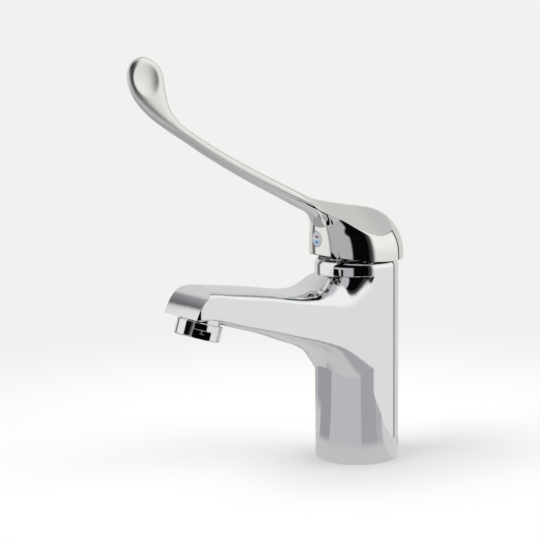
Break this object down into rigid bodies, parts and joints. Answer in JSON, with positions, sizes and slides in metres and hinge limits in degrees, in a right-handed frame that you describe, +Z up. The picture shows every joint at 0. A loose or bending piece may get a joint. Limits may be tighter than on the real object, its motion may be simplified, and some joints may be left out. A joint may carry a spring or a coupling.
{
  "type": "lever tap",
  "caption": "Elbow lever basin mixer tap: round column, sloping flat-sided spout, domed cap with a long upright dished lever, chrome plated.",
  "frame": {"origin": "on the deck surface, on the axis of the round column", "axes": "+Z up out of the deck, -Y the way the spout and the lever point, +X to the right for someone who faces +Y from in front of the spout"},
  "size_m": [0.0516, 0.1632, 0.22],
  "materials": {
    "chrome_body": "polished",
    "chrome_lever": "polished",
    "chrome_trim": "polished",
    "raw_brass": "satin",
    "grey_plastic": "satin",
    "white_plastic": "satin",
    "black_rubber": "matte",
    "steel": "satin",
    "alumina": "polished",
    "pale_plug": "gloss"
  },
  "bodies": {
    "body": {"body_casting": "chrome_body", "casting_foot": "chrome_body", "inlet_block": "raw_brass", "base_seal": "black_rubber", "cartridge_shroud": "chrome_trim", "cartridge_nut": "raw_brass", "cartridge_housing": "grey_plastic", "cartridge_base": "white_plastic", "port_seals": "black_rubber", "disc_seals": "black_rubber", "fixed_ceramic_disc": "alumina", "aerator_shell": "chrome_trim", "aerator_insert": "white_plastic", "aerator_mesh": "steel", "aerator_washer": "black_rubber"},
    "turret": {"lever_carrier": "grey_plastic", "carrier_o_ring": "black_rubber", "pivot_pin": "steel"},
    "lever": {"lever_handle": "chrome_lever", "stem": "steel", "indicator_plug": "pale_plug", "grub_screw": "steel"},
    "slider": {"moving_ceramic_disc": "alumina", "disc_coupler": "white_plastic"}
  },
  "joints": [
    {"name": "temperature_turn", "type": "hinge", "parent": "body", "child": "turret", "pos_m": [0, 0, 0.107], "axis": [0, 0, 1], "range_deg": [-50, 50]},
    {"name": "lever_lift", "type": "hinge", "parent": "turret", "child": "lever", "pos_m": [0, 0, 0.107], "axis": [-1, 0, 0], "range_deg": [0, 20]},
    {"name": "disc_slide", "type": "slide", "parent": "turret", "child": "slider", "axis": [0, -1, 0], "range_m": [0, 0.0039]}
  ],
  "couplings": [
    {"joint": "disc_slide", "follows": "lever_lift", "m_per_rad": 0.011}
  ]
}
